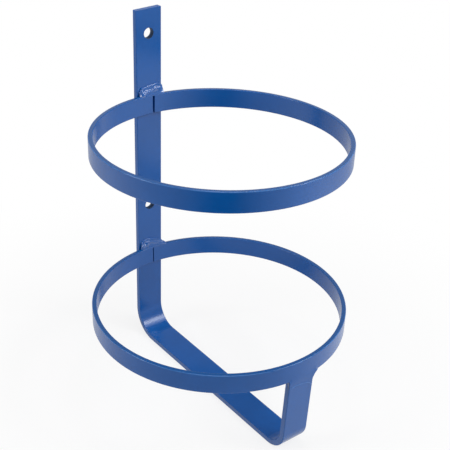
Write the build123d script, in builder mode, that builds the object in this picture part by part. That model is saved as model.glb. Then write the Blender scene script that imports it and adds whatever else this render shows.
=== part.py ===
from build123d import *
import math
import os

# Gas cylinder bracket, welded from steel flat bar. One bar is bent into the back strap, the shelf
# and the lip. Two rings rolled from thinner strip are welded to its front face, and the lip is
# welded under the lower ring. Millimetres. The origin is on the wall face, midway between the two
# bolt holes, with +Z up and -Y to the front.

# The flat bar
strap_width = 30.0
strap_thickness = 6.0
strap_edge_radius = 0.8
strap_end_skew = 1.5  # how far the cropped top end is out of square, across the width
back_bend_radius = 24.0  # inside the bend
front_bend_radius = 17.0  # inside the bend
lip_lean = 2.3  # degrees that the lip leans forward

# The bolt holes
hole_diameter = 11.0
hole_rim_radius = 0.4
hole_pitch = 192.0
hole_to_end = 25.0

# The two rings
strip_height = 20.0
strip_thickness = 4.5
strip_edge_radius = 0.8
upper_ring_diameter = 250.0  # outside
lower_ring_diameter = 260.0  # outside
upper_seam_gap = 2.5  # between the two ends of the rolled strip
lower_seam_gap = 1.2
upper_seam_offset = 2.7  # from the strap's centreline to the middle of the gap
lower_seam_offset = 1.4

# Levels
hole_to_upper_ring = 64.0  # upper hole's centre down to the upper ring's top edge
ring_pitch = 180.5
lower_ring_to_shelf = 83.7  # clear height under the lower ring

# The welds
weld_setback = 3.0  # strap's left edge to the start of a ring weld
weld_bulge = 0.9  # how far a weld's face stands out from its chord
upper_weld_start = 7.6  # height of the upper weld on the strap, at its start and end
upper_weld_end = 11.0
lower_weld_start = 8.6  # height of the lower weld on the strap, at its start, middle and end
lower_weld_middle = 10.0
lower_weld_end = 1.6
lower_weld_overrun = 3.0  # how far the lower weld runs past the strap's right edge
lip_weld_height = 7.6  # the bevel on the lip's end that the weld fills
lip_weld_depth = 4.5
lip_gusset_run = 6.5  # the weld's fillet beside the lip, along the ring and down the lip
lip_gusset_drop = 9.5

# Places that follow
strap_front = -strap_thickness
upper_hole_z = hole_pitch / 2
strap_top = upper_hole_z + hole_to_end
upper_ring_top = upper_hole_z - hole_to_upper_ring
lower_ring_top = upper_ring_top - ring_pitch
lower_ring_bottom = lower_ring_top - strip_height
shelf_top = lower_ring_bottom - lower_ring_to_shelf
lip_face = strap_front - lower_ring_diameter  # lip's outer face, at the ring's bottom edge
lean = math.radians(lip_lean)


def bar_centreline():
    # The bar's middle line from the top end to past the lip's end, bent at both corners
    half = strap_thickness / 2
    shelf_middle = shelf_top - half
    lip_y = lip_face + half * math.cos(lean)
    lip_z = lower_ring_bottom + half * math.sin(lean)
    corner_y = lip_y + (lip_z - shelf_middle) * math.tan(lean)
    overshoot = strap_thickness
    return FilletPolyline(
        (-half, strap_top + strap_end_skew),
        (-half, shelf_middle),
        (corner_y, shelf_middle),
        (lip_y - overshoot * math.sin(lean), lip_z + overshoot * math.cos(lean)),
        radius=[back_bend_radius + half, front_bend_radius + half],
    )


def is_hole_rim(edge):
    return abs(edge.radius - hole_diameter / 2) < 0.01


def lip_bevel():
    # Section of the groove between the lip's bevelled end and the ring's underside
    foot_y = lip_face + lip_weld_height * math.tan(lean)
    Polygon(
        (lip_face, lower_ring_bottom),
        (foot_y, lower_ring_bottom - lip_weld_height),
        (lip_face + lip_weld_depth, lower_ring_bottom),
        align=None,
    )


def rolled_ring(diameter, top, seam_gap, seam_offset):
    # Strip rolled into a ring against the strap's front face, its ends left a little apart
    centre_y = strap_front - diameter / 2
    middle_radius = (diameter - strip_thickness) / 2
    gap_angle = math.degrees(seam_gap / middle_radius)
    start = math.radians(90 - math.degrees(seam_offset / middle_radius) + gap_angle / 2)
    section = Plane(
        origin=(0, centre_y, top - strip_height / 2),
        x_dir=(math.cos(start), math.sin(start), 0),
        z_dir=(math.sin(start), -math.cos(start), 0),
    )
    with BuildPart() as ring:
        with BuildSketch(section):
            with Locations((middle_radius, 0)):
                RectangleRounded(strip_thickness, strip_height, strip_edge_radius)
        revolve(axis=Axis((0, centre_y, 0), (0, 0, 1)), revolution_arc=360 - gap_angle)
    return ring.part


def ring_weld(ring_top, stations):
    # Fillet weld on the ring's top edge against the strap, through a section at each station:
    # its place across the strap, its height on the strap and its reach over the ring
    with BuildPart() as bead:
        for across, height, reach in stations:
            on_strap = (strap_front, ring_top + height)
            on_ring = (strap_front - reach, ring_top)
            with BuildSketch(Plane.YZ.offset(across)):
                with BuildLine():
                    Line((strap_front, ring_top), on_strap)
                    SagittaArc(on_strap, on_ring, -weld_bulge * height / upper_weld_end)
                    Line(on_ring, (strap_front, ring_top))
                make_face()
        loft()
    return bead.part


# Back strap, shelf and lip, bent from one bar
with BuildPart() as back_strap:
    with BuildSketch(Plane.YZ):
        with BuildLine() as middle_line:
            bar_centreline()
        trace(middle_line.line, strap_thickness)
        with Locations((lip_face, lower_ring_bottom)):
            trim = 4 * strap_thickness
            Rectangle(trim, trim, align=(Align.CENTER, Align.MIN), mode=Mode.SUBTRACT)
    extrude(amount=strap_width / 2, both=True)
    top_end = Plane(origin=(0, 0, strap_top), z_dir=(-strap_end_skew / strap_width, 0, 1))
    split(bisect_by=top_end, keep=Keep.BOTTOM)
    fillet(back_strap.faces().filter_by(Axis.X).edges(), strap_edge_radius)
    with BuildSketch(Plane.YZ):
        lip_bevel()
    extrude(amount=strap_width / 2, both=True, mode=Mode.SUBTRACT)
    with Locations(Plane.XZ.offset(-strap_front)):
        with GridLocations(0, hole_pitch, 1, 2):
            Hole(hole_diameter / 2)
    rims = back_strap.edges().filter_by(GeomType.CIRCLE).filter_by(is_hole_rim)
    fillet(rims.group_by(Axis.Y)[0], hole_rim_radius)

# Rings
upper_ring = rolled_ring(upper_ring_diameter, upper_ring_top, upper_seam_gap, upper_seam_offset)
lower_ring = rolled_ring(lower_ring_diameter, lower_ring_top, lower_seam_gap, lower_seam_offset)

# Welds between the rings and the strap
weld_start = -strap_width / 2 + weld_setback
weld_end = strap_width / 2
upper_ring_weld = ring_weld(
    upper_ring_top,
    [(weld_start, upper_weld_start, strip_thickness), (weld_end, upper_weld_end, strip_thickness)],
)
lower_ring_weld = ring_weld(
    lower_ring_top,
    [
        (weld_start, lower_weld_start, strip_thickness),
        ((weld_start + weld_end) / 2, lower_weld_middle, strip_thickness),
        (weld_end + lower_weld_overrun, lower_weld_end, strip_thickness),
    ],
)

# Weld under the lower ring: it fills the lip's bevel flush and turns a fillet beside the lip
with BuildPart() as lip_weld:
    with BuildSketch(Plane.YZ):
        lip_bevel()
    extrude(amount=strap_width / 2, both=True)
    lip_plane = Plane(
        origin=(0, lip_face, lower_ring_bottom),
        x_dir=(1, 0, 0),
        z_dir=(0, -math.cos(lean), -math.sin(lean)),
    )
    with BuildSketch(lip_plane):
        with BuildLine():
            ring_end = (strap_width / 2 + lip_gusset_run, 0)
            lip_end = (strap_width / 2, -lip_gusset_drop)
            Polyline(lip_end, (strap_width / 2, 0), ring_end)
            TangentArc(lip_end, ring_end, tangent=(0, 1))
        make_face()
    extrude(amount=-strip_thickness)
    split(bisect_by=Plane.XY.offset(lower_ring_bottom), keep=Keep.BOTTOM)

pieces = {
    "back_strap": back_strap.part,
    "upper_ring": upper_ring,
    "lower_ring": lower_ring,
    "upper_ring_weld": upper_ring_weld,
    "lower_ring_weld": lower_ring_weld,
    "lip_weld": lip_weld.part,
}
os.makedirs("parts", exist_ok=True)
for name, piece in pieces.items():
    piece.label = name
    export_step(piece, f"parts/{name}.step")
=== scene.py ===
import math

import bmesh
import bpy
from mathutils import Matrix, Vector, noise


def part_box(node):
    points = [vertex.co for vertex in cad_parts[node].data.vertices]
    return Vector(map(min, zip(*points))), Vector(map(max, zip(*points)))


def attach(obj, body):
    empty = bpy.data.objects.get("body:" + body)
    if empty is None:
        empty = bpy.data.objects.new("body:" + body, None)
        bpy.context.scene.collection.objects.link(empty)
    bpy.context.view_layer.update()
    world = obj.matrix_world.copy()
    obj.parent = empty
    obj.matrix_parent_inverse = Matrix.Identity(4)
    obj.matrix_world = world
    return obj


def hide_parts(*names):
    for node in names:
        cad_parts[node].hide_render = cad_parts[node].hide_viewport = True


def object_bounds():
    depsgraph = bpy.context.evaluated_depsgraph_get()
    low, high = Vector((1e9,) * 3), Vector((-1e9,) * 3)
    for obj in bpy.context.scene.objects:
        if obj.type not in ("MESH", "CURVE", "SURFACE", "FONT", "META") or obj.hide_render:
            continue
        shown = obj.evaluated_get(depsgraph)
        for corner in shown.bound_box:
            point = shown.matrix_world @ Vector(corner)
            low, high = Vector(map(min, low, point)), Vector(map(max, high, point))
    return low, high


# Wall bracket for one gas cylinder: a bent flat bar and two rolled rings, welded and powder coated blue
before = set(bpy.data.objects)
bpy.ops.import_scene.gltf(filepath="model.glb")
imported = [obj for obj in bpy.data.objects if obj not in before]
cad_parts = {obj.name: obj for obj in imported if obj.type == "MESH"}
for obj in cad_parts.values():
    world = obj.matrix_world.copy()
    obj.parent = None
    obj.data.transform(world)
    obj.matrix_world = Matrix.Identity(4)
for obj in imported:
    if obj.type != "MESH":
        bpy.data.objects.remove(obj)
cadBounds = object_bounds()
scene = bpy.context.scene
scene.view_settings.view_transform = "Standard"
mm = 0.001
print("frame loaded:", len(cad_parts), "pieces")

view = {
    "place": (-0.4760, -0.7405, 0.3513),
    "azimuth": -38.431,  # degrees round the bracket, 0 looks along +Y
    "elevation": 28.333,
    "roll": 2.211,
    "lens": 70.98,
    "sensor": 36.0,
}


def addCamera(view):
    turn, rise, roll = (math.radians(view[key]) for key in ("azimuth", "elevation", "roll"))
    level = Vector((math.cos(turn), math.sin(turn), 0))
    back = Vector((math.sin(turn) * math.cos(rise), -math.cos(turn) * math.cos(rise), math.sin(rise)))
    upright = back.cross(level)
    right = math.cos(roll) * level + math.sin(roll) * upright
    up = -math.sin(roll) * level + math.cos(roll) * upright
    lens = bpy.data.cameras.new("camera")
    lens.lens = view["lens"]
    lens.sensor_width = view["sensor"]
    camera = bpy.data.objects.new("camera", lens)
    aim = Matrix((right, up, back)).transposed().to_4x4()
    camera.matrix_world = Matrix.Translation(view["place"]) @ aim
    scene.collection.objects.link(camera)
    scene.camera = camera


addCamera(view)
print("camera placed")


class Wire:
    # a socket of a node tree, so that shader maths is written as sums
    def __init__(self, tree, socket=None):
        self.tree = tree
        self.socket = socket

    def node(self, kind, settings=None, inputs=None, output=0):
        made = self.tree.nodes.new(kind)
        for key, value in (settings or {}).items():
            setattr(made, key, value)
        for key, value in (inputs or {}).items():
            if isinstance(value, Wire):
                self.tree.links.new(value.socket, made.inputs[key])
            else:
                made.inputs[key].default_value = value
        return Wire(self.tree, made.outputs[output])

    def maths(self, operation, first, second=0.0):
        return self.node("ShaderNodeMath", {"operation": operation}, {0: first, 1: second})

    def __add__(self, other):
        return self.maths("ADD", self, other)

    def __radd__(self, other):
        return self.maths("ADD", other, self)

    def __sub__(self, other):
        return self.maths("SUBTRACT", self, other)

    def __rsub__(self, other):
        return self.maths("SUBTRACT", other, self)

    def __mul__(self, other):
        return self.maths("MULTIPLY", self, other)

    def __rmul__(self, other):
        return self.maths("MULTIPLY", other, self)

    def between(self, low, high):
        # 0 below low, 1 above high, smooth in the middle
        settings = {"interpolation_type": "SMOOTHSTEP"}
        inputs = {"Value": self, "From Min": low, "From Max": high}
        return self.node("ShaderNodeMapRange", settings, inputs)

    def away(self, place, axes=(1, 1, 1)):
        # how far this position is from a place, counting only some axes
        flat = self.node("ShaderNodeVectorMath", {"operation": "MULTIPLY"}, {0: self, 1: axes})
        spot = [share * axis for share, axis in zip(place, axes)]
        return self.node("ShaderNodeVectorMath", {"operation": "DISTANCE"}, {0: flat, 1: spot}, 1)

    def colours(self, first, second):
        # from the first colour at 0 to the second at 1
        return self.node("ShaderNodeMix", {"data_type": "RGBA"}, {0: self, 6: first, 7: second}, 2)

    def position(self):
        return self.node("ShaderNodeTexCoord", output=3)

    def noise(self, size, detail=2.0):
        # blotches of this size in metres, fixed to the object
        inputs = {"Vector": self.position(), "Scale": 1 / size, "Detail": detail, "Roughness": 0.55}
        return self.node("ShaderNodeTexNoise", None, inputs)

    def upward(self):
        # how far a face looks up, 0 on a wall and 1 on a level top
        return self.node("ShaderNodeSeparateXYZ", None, {0: self.node("ShaderNodeTexCoord", output=1)}, 2)

    def rays(self, *kinds):
        # 1 for these kinds of ray
        node = self.node("ShaderNodeLightPath").socket.node
        total = 0.0
        for kind in kinds:
            total = self.maths("MAXIMUM", Wire(self.tree, node.outputs[kind]), total)
        return total

    def finish(self, kind="ShaderNodeOutputMaterial"):
        made = self.tree.nodes.new(kind)
        self.tree.links.new(self.socket, made.inputs["Surface"])


def newShader(name):
    material = bpy.data.materials.new(name)
    material.use_nodes = True
    material.node_tree.nodes.clear()
    return material, Wire(material.node_tree)


def addMesh(name, bm, material):
    mesh = bpy.data.meshes.new(name)
    bm.to_mesh(mesh)
    bm.free()
    mesh.materials.append(material)
    made = bpy.data.objects.new(name, mesh)
    scene.collection.objects.link(made)
    return made


studio = {
    "dayLevel": 0.26,  # even light from all round
    "horizonLevel": 0.62,  # what the gloss sees of the walls and of the ceiling
    "ceilingLevel": 0.12,
    "ceilingRise": (34.0, 43.0),  # degrees over which the one turns into the other
    "white": (1.0, 1.0, 1.0, 1),
    "paper": (0.88, 0.88, 0.89, 1),
    "bounce": (0.50, 0.50, 0.50, 1),  # how much light the table throws back up
    "floorRadius": 1.6,
    "floorSides": 128,
    "floorDrop": 0.0002,
    "shadowShare": 0.20,  # how much of the table's own light and shade is seen
    "shadowReach": (0.10, 0.50),
    "tableGloss": 0.72,  # what the gloss sees of the table
    "tablePatches": {
        # place, reach, and how much brighter or darker the table is there
        "rightFront": ((0.42, -0.62, 0), 0.60, 0.78),
        "left": ((-0.45, 0.15, 0), 0.50, 0.57),
        "leftFront": ((-0.42, -0.70, 0), 0.52, -1.00),
        "near": ((0.05, -0.25, 0), 0.35, 0.30),
    },
}
lamps = {
    # place, size across and up, radiance, the point it is aimed at, and two switches:
    # whether the bracket is lit by it, and whether the bracket's gloss shows it
    "keyLight": ((0.92, -1.22, 1.24), (0.50, 0.60), 8.5, (0, -0.05, -0.22), (True, True)),
    "topLight": ((0.05, -0.10, 0.75), (0.36, 0.36), 4.2, (0, -0.13, -0.05), (True, True)),
    "glintLight": ((0.52, -0.50, 0.70), (0.42, 0.42), 4.5, (0, 0, -0.14), (False, True)),
    "frontLight": ((0.10, -1.60, 0.60), (1.70, 1.50), 1.25, (0, -0.13, -0.05), (True, False)),
    "rightLight": ((1.10, -1.00, 0.60), (1.40, 1.40), 1.20, (0, -0.13, -0.05), (True, False)),
    "leftLight": ((-1.05, 0.15, 0.45), (0.50, 0.80), 4.8, (0, -0.13, -0.05), (True, True)),
}


def lightWorld(studio):
    world = bpy.data.worlds.new("studio")
    scene.world = world
    world.use_nodes = True
    world.node_tree.nodes.clear()
    wire = Wire(world.node_tree)
    aim = wire.node("ShaderNodeTexCoord")
    aim = wire.node("ShaderNodeVectorMath", {"operation": "NORMALIZE"}, {0: aim})
    rise = wire.node("ShaderNodeSeparateXYZ", None, {0: aim}, 2)
    low, high = (math.sin(math.radians(angle)) for angle in studio["ceilingRise"])
    drop = studio["horizonLevel"] - studio["ceilingLevel"]
    gloss = studio["horizonLevel"] - rise.between(low, high) * drop
    seen = wire.rays("Is Camera Ray", "Is Transmission Ray")
    glossy = wire.rays("Is Glossy Ray")
    strength = seen + glossy * gloss + (1 - seen) * (1 - glossy) * studio["dayLevel"]
    inputs = {"Color": studio["white"], "Strength": strength}
    wire.node("ShaderNodeBackground", None, inputs).finish("ShaderNodeOutputWorld")


def addFloor(studio):
    material, wire = newShader("paperTable")
    place = wire.position()
    gloss = studio["tableGloss"]
    for spot, reach, level in studio["tablePatches"].values():
        gloss = (1 - place.away(spot, (1, 1, 0)).between(0, reach)) * level + gloss
    seen = wire.rays("Is Camera Ray", "Is Transmission Ray")
    glossy = wire.rays("Is Glossy Ray")
    centre = (cadBounds[0] + cadBounds[1]) / 2
    shade = 1 - place.away(centre, (1, 1, 0)).between(*studio["shadowReach"])
    colour = seen.colours(studio["bounce"], studio["paper"])
    paper = wire.node("ShaderNodeBsdfDiffuse", None, {"Color": colour})
    inputs = {"Color": studio["white"], "Strength": seen + glossy * gloss}
    glow = wire.node("ShaderNodeEmission", None, inputs)
    share = seen * (1 - shade * studio["shadowShare"]) + glossy
    wire.node("ShaderNodeMixShader", None, {0: share, 1: paper, 2: glow}).finish()
    bm = bmesh.new()
    sides, radius = studio["floorSides"], studio["floorRadius"]
    bmesh.ops.create_circle(bm, cap_ends=True, segments=sides, radius=radius)
    level = (centre.x, centre.y, cadBounds[0].z - studio["floorDrop"])
    bmesh.ops.translate(bm, verts=bm.verts, vec=level)
    addMesh("floor", bm, material)


def addLamps(lamps):
    for name, (place, size, radiance, target, (lit, shown)) in lamps.items():
        lamp = bpy.data.lights.new(name, "AREA")
        lamp.shape = "RECTANGLE"
        lamp.size, lamp.size_y = size
        lamp.energy = radiance * math.pi * size[0] * size[1]
        light = bpy.data.objects.new(name, lamp)
        aim = (Vector(target) - Vector(place)).to_track_quat("-Z", "Y")
        light.matrix_world = Matrix.Translation(place) @ aim.to_matrix().to_4x4()
        light.visible_diffuse = lit
        light.visible_glossy = shown
        scene.collection.objects.link(light)


lightWorld(studio)
addFloor(studio)
addLamps(lamps)
print("studio lit")

coat = {
    "colour": (0.0030, 0.092, 0.360, 1),
    "thinColour": (0.0026, 0.082, 0.322, 1),  # where the powder lies thinner
    "topShadeColour": (0.0022, 0.074, 0.272, 1),  # painted shade on a ring's level top face, which reads darker under this light
    "topShadeLevel": (0.75, 0.95),  # how level a ring's face is where the painted shade starts and where it is full
    "blotchSize": 0.045,  # broad, faint patches
    "blotchRange": (0.36, 0.66),
    "speckSize": 0.0038,  # small ones on top of them
    "speckRange": (0.45, 0.75),
    "speckShare": 0.3,
    "roughness": 0.24,
    "roughnessSpread": 0.10,
    "roughnessSize": 0.018,
    "gloss": 0.0,  # a smooth skin where the powder ran together
    "glossRoughness": 0.12,
    "refraction": 1.5,
    "peelSize": 0.0021,  # orange peel, hump to hump
    "peelHeight": 0.000012,
    "grainSize": 0.00045,
    "grainHeight": 0.0000016,
    "nibGap": 0.012,  # specks of dust under the powder, and how far apart they are
    "nibRadius": 0.00035,
    "nibHeight": 0.000020,
}
drilledHoles = {
    "places": ((0, 0, 0.096), (0, 0, -0.096)),
    "rim": (0.00560, 0.00600),  # painted shade inside the one radius, the full coat outside the other
    "shadeColour": (0.004, 0.040, 0.120, 1),
    "roughness": 0.62,
    "shadeGapSize": 0.0035,  # patches inside the hole where the painted shade is left out
    "shadeGapRange": (0.62, 0.70),
    "shadeGapShare": 0.5,
}
# a painted highlight along each ring's outer top edge
edgeHighlight = {
    "reach": (0.00090, 0.00036),  # from a ring's outer top edge, where the painted highlight ends and is brightest
    "colour": (0.055, 0.190, 0.500, 1),
    "strength": 0.75,
    "patchSize": 0.020,
    "patchRange": (0.2, 0.6),
}
# a painted highlight on the crest of the lip's seam, where it faces up
seamHighlight = {
    "slope": (0.12, 0.5),  # how far the seam's crest looks up where the painted highlight starts and is full
    "colour": (0.055, 0.190, 0.500, 1),
    "strength": 0.9,
}


def edgeHighlightShare(wire, ring, edge):
    # 1 along the outer top edge of this ring, where the painted highlight goes
    low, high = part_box(ring)
    across, tall = (high.x - low.x) / 2, high.z - low.z
    start, full = edge["reach"]
    out = wire.position().away((low + high) / 2, (1, 1, 0)).between(across - start, across - full)
    rise = wire.position().away(low, (0, 0, 1)).between(tall - start, tall - full)
    patches = wire.noise(edge["patchSize"]).between(*edge["patchRange"])
    return out * rise * (patches * edge["strength"])


def powderCoat(name, coat, holes=None, ring=None, seam=None):
    material, wire = newShader(name)
    specks = wire.noise(coat["speckSize"]).between(*coat["speckRange"])
    blotches = wire.noise(coat["blotchSize"], 3.0).between(*coat["blotchRange"])
    thin = blotches * (1 - coat["speckShare"]) + specks * coat["speckShare"]
    colour = thin.colours(coat["colour"], coat["thinColour"])
    if ring:
        # painted shade on the rings' level tops
        colour = wire.upward().between(*coat["topShadeLevel"]).colours(colour, coat["topShadeColour"])
        # a painted highlight along the outer top edge
        colour = edgeHighlightShare(wire, ring, edgeHighlight).colours(colour, edgeHighlight["colour"])
    if seam:
        # painted highlight on the seam's upward-facing crest
        crest = wire.upward().between(*seam["slope"]) * seam["strength"]
        colour = crest.colours(colour, seam["colour"])
    uneven = wire.noise(coat["roughnessSize"], 3.0) - 0.5
    rough = coat["roughness"] + uneven * coat["roughnessSpread"]
    inputs = {"Vector": wire.position(), "Scale": 1 / coat["nibGap"]}
    nib = wire.node("ShaderNodeTexVoronoi", None, inputs)
    nib = 1 - nib.between(0, coat["nibRadius"] / coat["nibGap"])
    height = wire.noise(coat["peelSize"], 1.0) * coat["peelHeight"] + nib * coat["nibHeight"]
    height = height + wire.noise(coat["grainSize"], 1.0) * coat["grainHeight"]
    normal = wire.node("ShaderNodeBump", None, {"Height": height * (1 / mm), "Distance": mm})
    if holes:
        # painted shade inside the drilled holes, left out in patches
        outsideHoles = 1.0
        for place in holes["places"]:
            outsideHoles = wire.position().away(place, (1, 0, 1)).between(*holes["rim"]) * outsideHoles
        shadeGaps = wire.noise(holes["shadeGapSize"]).between(*holes["shadeGapRange"]) * holes["shadeGapShare"]
        holeShade = (1 - outsideHoles) * (1 - shadeGaps)
        colour = holeShade.colours(colour, holes["shadeColour"])
        rough = rough + holeShade * (holes["roughness"] - coat["roughness"])
    inputs = {"Base Color": colour, "Roughness": rough, "Normal": normal, "IOR": coat["refraction"]}
    inputs |= {"Coat Weight": coat["gloss"], "Coat Roughness": coat["glossRoughness"]}
    wire.node("ShaderNodeBsdfPrincipled", None, inputs).finish()
    return material


# the powder ran together and is smoother on the beads
beadCoat = coat | {"roughness": 0.16, "peelHeight": 0.000006, "gloss": 1.0}
weldCoat = powderCoat("weldPowderCoat", beadCoat)
nodeCoats = {
    "back_strap": powderCoat("barPowderCoat", coat, holes=drilledHoles),
    "upper_ring": powderCoat("upperRingPowderCoat", coat, ring="upper_ring"),
    "lower_ring": powderCoat("lowerRingPowderCoat", coat, ring="lower_ring"),
    "lip_weld": powderCoat("lipPowderCoat", coat, seam=seamHighlight),
}
for name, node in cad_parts.items():
    node.data.materials.clear()
    node.data.materials.append(nodeCoats.get(name, weldCoat))
print("powder coat on")


# The welds are shaped in millimetres: x across the strap, out from its face and height above the ring
def smooth(value, low, high):
    share = min(max((value - low) / (high - low), 0), 1)
    return share * share * (3 - 2 * share)


def along(points, place):
    # the values at this place on a line through the points, each led by its own place
    for (start, *first), (end, *second) in zip(points, points[1:]):
        if place <= end:
            share = max(place - start, 0) / (end - start)
            return [a + (b - a) * share for a, b in zip(first, second)]
    return points[-1][1:]


def curve(points, share):
    # a smooth curve through the points, from 0 at the first to 1 at the last
    reach = share * (len(points) - 1)
    index = min(int(reach), len(points) - 2)
    t = reach - index
    last = len(points) - 1
    before, start, end, after = (Vector(points[min(max(i, 0), last)]) for i in range(index - 1, index + 3))
    bend = (end - before) * t + (2 * before - 5 * start + 4 * end - after) * t**2
    return start + 0.5 * (bend + (3 * start - before - 3 * end + after) * t**3)


def lump(place, size, seed):
    return noise.noise(Vector(place) / size + Vector((seed, 1.7 * seed, 0)))


def finishWeld(name, bm, node, material):
    bmesh.ops.remove_doubles(bm, verts=bm.verts, dist=0.002)
    bmesh.ops.holes_fill(bm, edges=bm.edges, sides=0)
    bmesh.ops.scale(bm, vec=(mm, mm, mm), verts=bm.verts)
    bmesh.ops.recalc_face_normals(bm, faces=bm.faces)
    for face in bm.faces:
        face.smooth = True
    weld = addMesh(name, bm, material)
    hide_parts(node)
    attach(weld, "root")


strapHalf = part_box("back_strap")[1].x / mm
upperBead = {
    "node": "upper_ring_weld",
    "ring": "upper_ring",
    "ends": (-12.8, 15.15),
    "roundEnds": (3.4, 0.5),  # how far each end takes to reach its full section
    "endShare": (0.0, 0.90),  # how much of the section is left at each end
    # place across and height of the bead's upper edge on the strap
    "toe": [(-12.8, 5.6), (-10.8, 7.7), (-9.2, 8.3), (0.6, 9.7), (9.4, 10.7), (11.6, 10.7),
            (13.4, 9.9), (15, 8.4)],
    # the face's section, out from the strap to the ring's inner face and up to the toe
    "section": [(0, 1), (0.10, 0.995), (0.185, 0.965), (0.245, 0.91), (0.285, 0.83), (0.35, 0.72),
                (0.48, 0.56), (0.63, 0.40), (0.80, 0.22), (0.93, 0.09), (0.99, 0.0),
                (1.003, -0.06), (0.985, -0.12)],
    # place across, height, swell and width of the ridge along the bead's face
    "ridge": [(-12.6, 0.6, 0.6, 1.2), (-10.2, 0.9, 1.1, 1.3), (-4.9, 3.0, 1.05, 1.4),
              (0, 3.6, 0.95, 1.3), (2.2, 3.8, 1.0, 1.3), (6.6, 5.2, 1.5, 1.9),
              (9.9, 5.4, 0.8, 1.7), (12.5, 5.3, 0.1, 1.3), (15, 5, 0, 1)],
    # place across, height, swell and radius of single drops
    "drops": [(-10.1, 4.8, 0.75, 1.3), (-10.0, 2.9, 0.6, 1.2), (-9.2, 7.3, 0.55, 1.4),
              (9.6, 9.5, 0.7, 1.6)],
    "lumpSize": 4.2,
    "lumpHeight": 0.22,
    "rippleStep": 2.6,
    "rippleHeight": 0.05,
    "seed": 3.0,
    # place across, out, height and radius
    "spatter": [(-12.6, 0.9, 3.7, 0.9), (-13.6, 0.3, 6.9, 0.35), (-9.0, 5.0, -2.6, 0.28),
                (12.6, 0.2, 13.0, 0.30)],
}
lowerBead = {
    "node": "lower_ring_weld",
    "ring": "lower_ring",
    "ends": (-13.4, 19.0),
    "roundEnds": (3.2, 2.2),
    "endShare": (0.0, 0.0),
    "toe": [(-13.4, 6.8), (-11.6, 9.0), (-8.1, 9.8), (-3.5, 10.6), (2.1, 9.9), (5.8, 8.6),
            (12.6, 5.2), (14.4, 4.2), (16.5, 2.2), (19, 1.2)],
    "section": [(0, 1), (0.11, 0.99), (0.20, 0.95), (0.27, 0.87), (0.33, 0.76), (0.42, 0.63),
                (0.56, 0.47), (0.72, 0.31), (0.87, 0.16), (0.95, 0.06), (0.995, 0.0),
                (1.003, -0.06), (0.985, -0.12)],
    "ridge": [(-13.2, 3.6, 0.6, 1.2), (-10.1, 3.8, 0.9, 1.3), (-7.6, 4.2, 0.7, 1.2),
              (-5.2, 4.8, 1.35, 1.6), (-2.6, 5.4, 0.8, 1.3), (-0.6, 6.0, 1.15, 1.5),
              (1.8, 4.9, 1.0, 1.3), (7.5, 2.7, 0.9, 1.3), (10.5, 1.6, 0.6, 1.1),
              (13.4, 0.9, 0.5, 0.9), (19, 0.2, 0.2, 0.8)],
    "drops": [(-12.0, 6.6, 0.8, 1.3), (-11.4, 3.6, 0.8, 1.3), (-8.1, 8.4, 0.8, 1.4),
              (-1.2, 9.0, 0.5, 1.6), (-5.4, 5.2, 0.6, 1.4)],
    "lumpSize": 3.6,
    "lumpHeight": 0.26,
    "rippleStep": 2.9,
    "rippleHeight": 0.05,
    "seed": 11.0,
    "spatter": [(-14.2, 0.6, 5.9, 0.5), (-12.9, 3.6, 0.4, 0.5), (-6.0, 5.0, -2.2, 0.3),
                (9.4, 5.0, -1.9, 0.3)],
}
# what both beads share
bead = {
    "columns": 150,
    "rows": 60,
    "faceShare": 0.78,  # of the rows, the others are the bead's hidden back
    "stripThickness": 4.5,
    "offStrap": (-0.2, 1.2),  # past the strap's edge, where the bead leaves its face for the ring's
    "footScale": 9,  # the section's heights below the ring's top edge are in this unit
    "fineLumps": (0.36, 0.25),  # smaller lumps on the others, as shares of their size and height
    "rippleBow": 0.5,  # how far the ripples bow along the bead, in ripples
    "swellRise": 0.45,  # how far a swell leans up rather than out
    "swellFade": 0.6,  # below 1, swells stay full nearer to the toe and the foot
    "sink": 0.3,  # how far the hidden back reaches into the strap
    "edgeSink": 0.9,  # the same where the strap's edge is rounded
    "edgePlace": (-0.35, 0.55),  # where that is, from the strap's edge, and how far to each side
    "toeInset": 0.3,  # from the toe down to the back's upper corner
    "footInset": 0.5,  # from the ring's inner face back to the lower corner
    "footDrop": 0.6,  # from the ring's top edge down to it
    "root": (0.45, -0.3),  # the point that the section shrinks to at the ends, out and up
    "thinnest": 0.0004,  # keeps it from shrinking to nothing
    "spatterFlatness": 0.7,
}


def ringGap(radius, thickness, x):
    # how far out of the strap's face the ring's outer and inner faces are, at a place across
    inner = radius - thickness
    return radius - math.sqrt(radius**2 - x**2), radius - math.sqrt(inner**2 - x**2)


def beadFace(weld, gap, x, turn):
    # a point of the bead's face, from its toe on the strap at 0 to its foot on the ring at 1
    toe, = along(weld["toe"], x)
    outer, inner = gap
    start = outer * smooth(x, *(strapHalf + past for past in bead["offStrap"]))
    out, height = curve(weld["section"], turn)
    out, height = start + out * (inner - start), height * (toe if height > 0 else bead["footScale"])
    level, swell, width = along(weld["ridge"], x)
    bump = swell * math.exp(-(((height - level) / width) ** 2))
    for across, level, swell, radius in weld["drops"]:
        bump += swell * math.exp(-((x - across) ** 2 + (height - level) ** 2) / radius**2)
    place, size, seed = (x, out, height), weld["lumpSize"], weld["seed"]
    fineSize, fineHeight = bead["fineLumps"]
    bump += lump(place, size, seed) * weld["lumpHeight"]
    bump += lump(place, size * fineSize, seed + 5) * weld["lumpHeight"] * fineHeight
    wave = x / weld["rippleStep"] + bead["rippleBow"] * math.sin(math.pi * turn)
    bump += weld["rippleHeight"] * math.sin(2 * math.pi * wave)
    away = Vector((inner - start, bead["swellRise"] * toe)).normalized()
    point = Vector((out, height)) + away * bump * math.sin(math.pi * turn) ** bead["swellFade"]
    return point, start, toe


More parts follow.
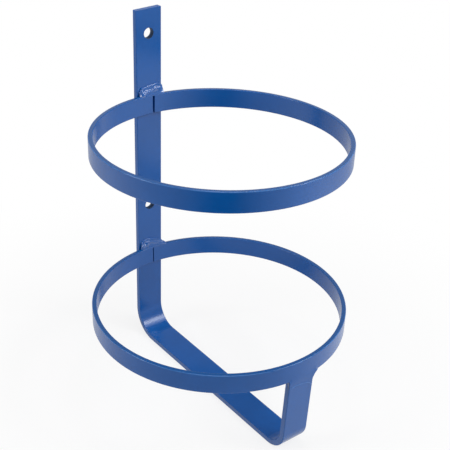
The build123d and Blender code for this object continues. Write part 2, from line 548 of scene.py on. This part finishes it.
def ringBead(name, weld):
    low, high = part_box(weld["ring"])
    radius = (high.x - low.x) / 2 / mm
    top, face = high.z / mm, high.y / mm
    bm = bmesh.new()
    bmesh.ops.create_grid(bm, x_segments=bead["columns"], y_segments=bead["rows"], size=1)
    first, last = weld["ends"]
    faceShare = bead["faceShare"]
    edgeMiddle, edgeReach = bead["edgePlace"]
    rootShare, rootHeight = bead["root"]
    for vert in bm.verts:
        x = first + (last - first) * (vert.co.x + 1) / 2
        turn = (vert.co.y + 1) / 2
        full = 1.0
        for gap, rounding, least in zip((x - first, last - x), weld["roundEnds"], weld["endShare"]):
            bend = 1 - min(gap / rounding, 1)
            full *= least + (1 - least) * math.sqrt(max(1 - bend * bend, bead["thinnest"]))
        outer, inner = ringGap(radius, bead["stripThickness"], x)
        point, start, toe = beadFace(weld, (outer, inner), x, min(turn / faceShare, 1))
        if turn > faceShare:
            atEdge = abs(x - strapHalf - edgeMiddle) < edgeReach
            inside = start - (bead["edgeSink"] if atEdge else bead["sink"])
            back, floor = inner - bead["footInset"], -bead["footDrop"]
            corners = [(0, back, floor), (1, inside, floor), (2, inside, toe - bead["toeInset"])]
            corners.append((3, start, toe))
            point = Vector(along(corners, 3 * (turn - faceShare) / (1 - faceShare)))
        root = Vector((start + rootShare * (inner - start), rootHeight))
        out, height = root + (point - root) * full
        vert.co = (x, face - out, top + height)
    flatness = Matrix.Diagonal((1, bead["spatterFlatness"], 1, 1))
    for x, out, height, radius in weld["spatter"]:
        place = Matrix.Translation((x, face - out, top + height))
        bmesh.ops.create_icosphere(bm, subdivisions=3, radius=radius, matrix=place @ flatness)
    finishWeld(name, bm, weld["node"], weldCoat)


ringBead("upperRingBead", upperBead)
ringBead("lowerRingBead", lowerBead)
print("ring beads made")

lipJoint = {
    "node": "lip_weld",
    "ring": "lower_ring",
    "columns": 72,
    "rows": 80,
    "belowShare": 0.7,  # of the rows, the others are above the ring's bottom edge
    "evenShare": 0.35,  # how evenly they are spread, the rest crowds them at the edges
    "lean": 2.3,  # degrees that the lip leans forward
    "edgeRadius": 0.8,
    # how far below the ring the seam runs, from left to right
    "seam": [(-15, 7.9), (-10.8, 7.6), (-6.4, 7.5), (-1, 8.0), (3, 8.6), (6.9, 9.5), (10.9, 11.6),
             (13.4, 14.2), (15, 16.6)],
    "seamHeight": 0.30,
    "seamCrest": (0.45, 0.42),  # how far above the seam the crest is, and its width
    "seamDip": (0.45, 0.2),  # depth of the dip on the seam, as a share of the crest, and its width
    "lumps": (3.5, 0.05),  # size and height of the unevenness that the grinding left
    "lumpStart": (0.5, 2),  # how far above the seam it sets in
    "seed": 21.0,
    "top": 7.0,  # how far up the ring's face the grinding runs
    "topFade": 2.0,  # over this far it runs out into the ring's face, at the top and at the sides
    "sideFade": 3.0,
    "blend": (-6.5, 6.5),  # from the lip's flat face to the ring's round one
    "onRing": (-0.8, 1.6),  # over these heights the edges turn from rounded to fading into the ring
    "grooveDrop": 7.6,  # the groove that the weld fills
    "grooveDepth": 4.5,
    "grooveOverlap": 0.1,  # how far the weld reaches into the metal behind it
    "leastDepth": 0.3,
    "gussetRun": 6.5,
    "gussetDrop": 9.5,
    "skin": 0.02,
    "buried": 0.05,  # how far inside the ring's face the outer edge ends
}


def gussetReach(joint, height):
    # how far the fillet stands beside the lip
    run, drop = joint["gussetRun"], joint["gussetDrop"]
    radius = (run**2 + drop**2) / (2 * run)
    climb = min(max(height + drop, 0), drop)
    return radius - math.sqrt(radius**2 - climb**2)


def dressedWeld(name, joint):
    low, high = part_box(joint["ring"])
    ringRadius = (high.x - low.x) / 2 / mm
    ringMiddle = (high.y + low.y) / 2 / mm
    bottom, lipFace = low.z / mm, low.y / mm
    left, right = -strapHalf, strapHalf
    lean = math.tan(math.radians(joint["lean"]))
    belowShare, even, top = joint["belowShare"], joint["evenShare"], joint["top"]
    crestPlace, crestWidth = joint["seamCrest"]
    dipShare, dipWidth = joint["seamDip"]
    lumpSize, lumpHeight = joint["lumps"]
    bm = bmesh.new()
    bmesh.ops.create_grid(bm, x_segments=joint["columns"], y_segments=joint["rows"], size=1)
    depths = {}
    for vert in bm.verts:
        share, rise = (vert.co.x + 1) / 2, (vert.co.y + 1) / 2
        share = even * share + (1 - even) * (0.5 - 0.5 * math.cos(math.pi * share))
        x = left + (right - left) * share
        for _ in range(3):  # the height and the fillet's reach at it settle together
            drop, = along(joint["seam"], x)
            below = rise / belowShare
            height = drop * (even * below + (1 - even) * below**2 - 1)
            if rise >= belowShare:
                height = top * (rise - belowShare) / (1 - belowShare)
            side = right + gussetReach(joint, height)
            x = left + (side - left) * share
        ringFace = ringMiddle - math.sqrt(ringRadius**2 - x * x)
        flat = 1 - smooth(height, *joint["blend"])
        y = ringFace + (lipFace - min(height, 0) * lean - ringFace) * flat - joint["skin"]
        above = height + along(joint["seam"], min(x, right))[0]
        y -= joint["seamHeight"] * math.exp(-(((above - crestPlace) / crestWidth) ** 2))
        y += joint["seamHeight"] * dipShare * math.exp(-((above / dipWidth) ** 2))
        uneven = lump((x, 0, bottom + height), lumpSize, joint["seed"])
        y -= lumpHeight * uneven * smooth(above, *joint["lumpStart"]) * flat
        onRing = smooth(height, *joint["onRing"])
        buried = ringFace + joint["buried"]
        for gap in (x - left, side - x):
            bend = max(1 - gap / joint["edgeRadius"], 0)
            rounded = joint["edgeRadius"] * (1 - math.sqrt(max(1 - bend * bend, 0)))
            y += rounded * (1 - onRing)
            y += (buried - y) * onRing * (1 - smooth(gap, 0, joint["sideFade"]))
        y += (buried - y) * smooth(height, top - joint["topFade"], top)
        depth = joint["leastDepth"]
        if height <= 0.001:
            groove = joint["grooveDepth"] * max(1 + height / joint["grooveDrop"], 0)
            depth = max(depth, groove + joint["grooveOverlap"])
            if x > right - 0.05:
                depth = joint["grooveDepth"]
        vert.co = (x, y, bottom + height)
        depths[tuple(vert.co)] = depth
    grown = bmesh.ops.extrude_face_region(bm, geom=list(bm.faces), use_keep_orig=True)["geom"]
    for vert in grown:
        if isinstance(vert, bmesh.types.BMVert):
            vert.co.y += depths[tuple(vert.co)]
    finishWeld(name, bm, joint["node"], nodeCoats["lip_weld"])


dressedWeld("lipJointWeld", lipJoint)
print("lip weld dressed")
